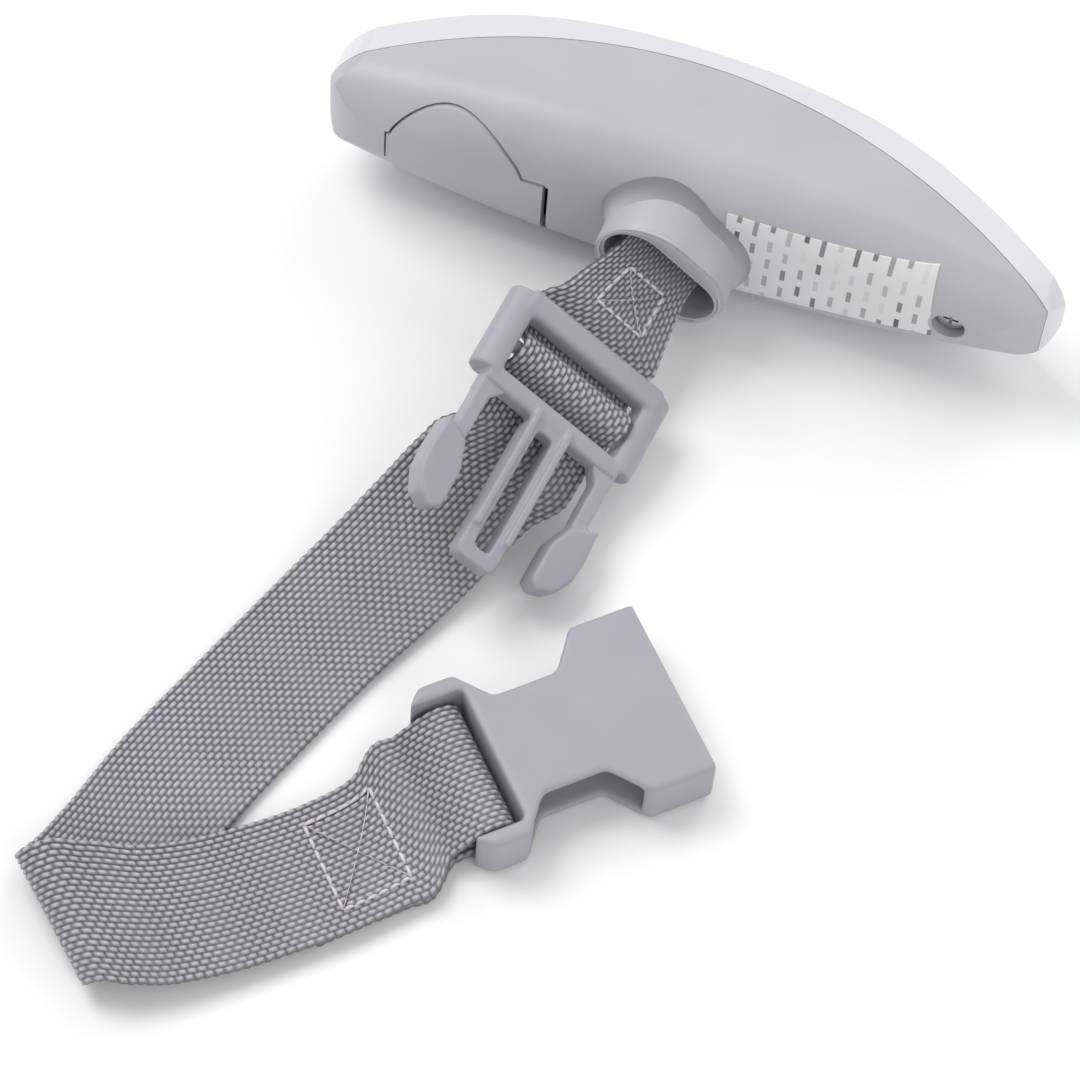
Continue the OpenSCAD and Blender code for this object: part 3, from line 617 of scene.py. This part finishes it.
def build_prong(name, node, s):
    """A springy arm running out of the frame's base bar into a domed, leaf-shaped head."""
    mesh = node_mesh(node)
    root = [on_male(s * ARM_X + x, ARM_ROOT_Y + y, z) for x in (-ROOT_HALF_X, ROOT_HALF_X)
            for y in ROOT_Y for z in (-ROOT_HALF_Z, ROOT_HALF_Z)]
    add_block(mesh, world(root))
    gusset = [on_male(s * (ARM_X + x), ARM_ROOT_Y + y, z) for x, y in GUSSET
              for z in (-GUSSET_HALF_Z, GUSSET_HALF_Z)]
    add_block(mesh, world(gusset))
    mesh = voxelled(mesh, MALE_VOXEL)

    def on_arm(y):
        return world(on_male(s * ARM_X, ARM_ROOT_Y + y, 0))

    def share(co):
        along = on_arm(HEAD_TO) - on_arm(HEAD_FROM)
        t = np.clip((co - on_arm(HEAD_FROM)) @ along / (along @ along), 0, 1)
        return ARM_ROUNDING + (1 - ARM_ROUNDING) * t

    relax(mesh, PRONG_PASSES, share)
    ob = add_piece(name, mesh, buckle_mat)
    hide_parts(node)
    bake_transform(ob)


build_prong("left_spring_arm", "left_prong", -1)
build_prong("right_spring_arm", "right_prong", 1)


# ---------------------------------------------------------------- collar skin
COLLAR, THROAT = (26.0, 20.0), (24.0, 12.0)   # length and width of the ovals
RIM_Y, RIM_R = -17.0, 1.3
FOOT_R = 2.3      # how far the foot runs out over the belly
SKIN = 0.12       # the skin's clearance outside the CAD collar
THROAT_DEPTHS = (3.0, 1.2)   # where the skin starts inside the throat, above the rim
BELOW_COLLAR = -40           # Y from which the belly is looked for
INSIDE_STEPS, OUTSIDE_STEPS, FOOT_STEPS, ROUND_STEPS = 5, 7, 14, 128


def oval_point(t, length, width):
    """Point and outward direction on an oval, turned with the throat; t from 0 to 1."""
    r, straight = width / 2, length - width
    a = 2 * math.pi * t
    n = np.array([math.cos(a), math.sin(a)])
    p = n * r + np.array([math.copysign(straight / 2, math.cos(a)), 0])
    lean = math.radians(-THROAT_TURN)
    spin = np.array([[math.cos(lean), -math.sin(lean)], [math.sin(lean), math.cos(lean)]])
    return spin @ p, spin @ n


def collar_profile(t, belly):
    """Points of the collar's skin at t round the oval, from inside the throat to the belly."""
    inner, _ = oval_point(t, *THROAT)
    outer, n = oval_point(t, *COLLAR)
    wall = outer + n * SKIN

    def belly_y(reach):
        p = outer + n * reach
        start = Vector(world((p[0], BELOW_COLLAR, p[1])))
        hit = belly.ray_cast(start, Vector((0, 1, 0)))[0]
        return hit.y / MM - MIDDLE[1]

    deep, shallow = THROAT_DEPTHS
    row = [(inner + (inner - outer) * 0.004, RIM_Y + deep), (inner, RIM_Y + shallow)]
    gap = outer - inner
    width = np.linalg.norm(gap)
    r = min(RIM_R, width * 0.48)
    for a in np.radians(np.linspace(0, 90, INSIDE_STEPS)):
        p = inner + gap / width * r * (1 - math.cos(a))
        row.append((p, RIM_Y - SKIN + r * (1 - math.sin(a))))
    for a in np.radians(np.linspace(90, 0, OUTSIDE_STEPS)):
        p = wall - n * r * (1 - math.cos(a))
        row.append((p, RIM_Y - SKIN + r * (1 - math.sin(a))))
    foot, rest = belly_y(SKIN + 0.05), belly_y(FOOT_R)
    for b in np.linspace(0, 1, FOOT_STEPS):
        y = (1 - b) ** 2 * (foot - FOOT_R) + 2 * b * (1 - b) * (foot - 0.1) + b * b * (rest + 0.06)
        row.append((wall + n * (FOOT_R - SKIN) * b * b, y))
    row.append((wall + n * (FOOT_R - SKIN), rest + 0.5))
    return [(p[0], y, p[1]) for p, y in row]


def build_collar():
    """Rounds the collar's rim and runs its foot into the belly in one smooth sweep."""
    bm = bmesh.new()
    bm.from_mesh(node_mesh("bottom_shell"))
    belly = BVHTree.FromBMesh(bm)
    bm.free()
    n_round = ROUND_STEPS
    rings = [collar_profile((k + 0.5) / n_round, belly) for k in range(n_round)]
    m = len(rings[0])
    starts = [(k * m, (k + 1) % n_round * m) for k in range(n_round)]
    faces = [(a + j, a + j + 1, b + j + 1, b + j) for a, b in starts for j in range(m - 1)]
    back = [(a + m - 1, a, b, b + m - 1) for a, b in starts]
    mesh = closed_mesh("collar", np.array(rings).reshape(-1, 3), faces + back)
    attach(add_piece("collar_skin", mesh, shell_mat), "handle")


build_collar()


# ---------------------------------------------------------------- stitching
STITCH, STITCH_SHARE = 2.3, 0.88   # one stitch's pitch, and the share of it the thread covers
THREAD_R, THREAD_SIDES = 0.34, 6
THREAD_SUNK, THREAD_RISE = 0.25, 0.45   # its ends below the webbing's face, its arch above them


def web_at(run):
    """Middle, width direction, face direction and width share at a length along the webbing."""
    row = np.array([np.interp(run, RUN, column) for column in WEB_TABLE.T])
    return row[:3], row[3:6], row[6:9], row[9]


def stitch_line(start, face, a0, b0, a1, b1):
    """Threads of one seam, each diving into the webbing at both ends."""
    count = max(2, round(math.hypot(a1 - a0, b1 - b0) / STITCH))
    threads = []
    for i in range(count):
        loop = []
        for q in np.linspace(0, 1, 9):
            t = (i + (1 - STITCH_SHARE) / 2 + STITCH_SHARE * q) / count
            arch = math.sin(math.pi * q) ** 0.7
            p, side, up, share = web_at(start + b0 + (b1 - b0) * t)
            lift = WEB_T / 2 - THREAD_SUNK + THREAD_RISE * arch
            base = p + side * (a0 + (a1 - a0) * t) * share + up * face * lift
            run = side * (a1 - a0) + np.cross(side, up) * -(b1 - b0)
            across = unit(np.cross(run, up))
            r = THREAD_R * (0.55 + 0.45 * arch)
            loop.append([base + r * (across * math.cos(g) + up * math.sin(g))
                         for g in np.linspace(0, 2 * math.pi, THREAD_SIDES + 1)[:-1]])
        threads.append(loop)
    return threads


def build_stitching(name, node, near, face, wide, long):
    """A boxed cross of thread, centred at the webbing's point nearest to near."""
    start = RUN[int(np.argmin(np.linalg.norm(WEB_MID - near, axis=1)))]
    x, y = wide / 2, long / 2
    seams = ((-x, -y, x, -y), (x, -y, x, y), (x, y, -x, y), (-x, y, -x, -y),
             (-x, -y, x, y), (-x, y, x, -y))
    n = THREAD_SIDES
    verts, faces = [], []
    for loop in [thread for seam in seams for thread in stitch_line(start, face, *seam)]:
        at = len(verts)
        verts += [v for ring in loop for v in ring]
        last = at + n * (len(loop) - 1)
        for a in range(at, last, n):
            for j in range(n):
                k = (j + 1) % n
                faces.append((a + j, a + k, a + n + k, a + n + j))
        faces += [tuple(at + j for j in reversed(range(n))), tuple(last + j for j in range(n))]
    ob = add_piece(name, closed_mesh(name, verts, faces), thread_mat)
    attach(ob, "strap")
    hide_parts(node)


build_stitching("throat_threads", "upper_stitching", near=(-3.2, -23.5, 0.2), face=1, wide=12, long=9)
build_stitching("end_threads", "end_stitching", near=(-9.5, -136, -14.4), face=-1, wide=17, long=13)


# ---------------------------------------------------------------- floor and light
def add_floor(half, drop):
    mesh = bpy.data.meshes.new("floor")
    corners = [(-half, -half, 0), (half, -half, 0), (half, half, 0), (-half, half, 0)]
    mesh.from_pydata(corners, [], [(0, 1, 2, 3)])
    floor = bpy.data.objects.new("floor", mesh)
    bpy.context.scene.collection.objects.link(floor)
    n = Nodes("floor_white")
    patches = n.noise(scale=3, detail=2)
    tones = [(0.3, (0.90, 0.90, 0.90)), (0.7, (0.93, 0.93, 0.93))]
    n.join(n.ramp(patches, tones), n.shader.inputs["Base Color"])
    n.shader.inputs["Roughness"].default_value = 0.9
    n.shader.inputs["Specular IOR Level"].default_value = 0.1
    mesh.materials.append(n.mat)
    floor.location.z = -drop


def add_light(name, place, size, power):
    """A square lamp at a place in metres, facing the object."""
    light = bpy.data.lights.new(name, "AREA")
    light.size = size
    light.energy = power
    ob = bpy.data.objects.new(name, light)
    bpy.context.scene.collection.objects.link(ob)
    ob.location = place
    ob.rotation_euler = (-Vector(place)).to_track_quat("-Z", "Y").to_euler()


def add_sky(strength):
    sky = bpy.data.worlds.new("studio")
    bpy.context.scene.world = sky
    sky.use_nodes = True
    background = sky.node_tree.nodes["Background"]
    background.inputs["Color"].default_value = (1, 1, 1, 1)
    background.inputs["Strength"].default_value = strength


add_floor(half=3.0, drop=0.0004)
add_light("key", (-0.9, 0.3, 1.3), size=0.9, power=13)
add_light("fill", (1.1, -0.9, 1.0), size=1.2, power=6)
add_light("back", (0.2, 1.2, 0.8), size=0.8, power=4.5)
add_sky(0.62)
bpy.context.scene.view_settings.view_transform = "Standard"
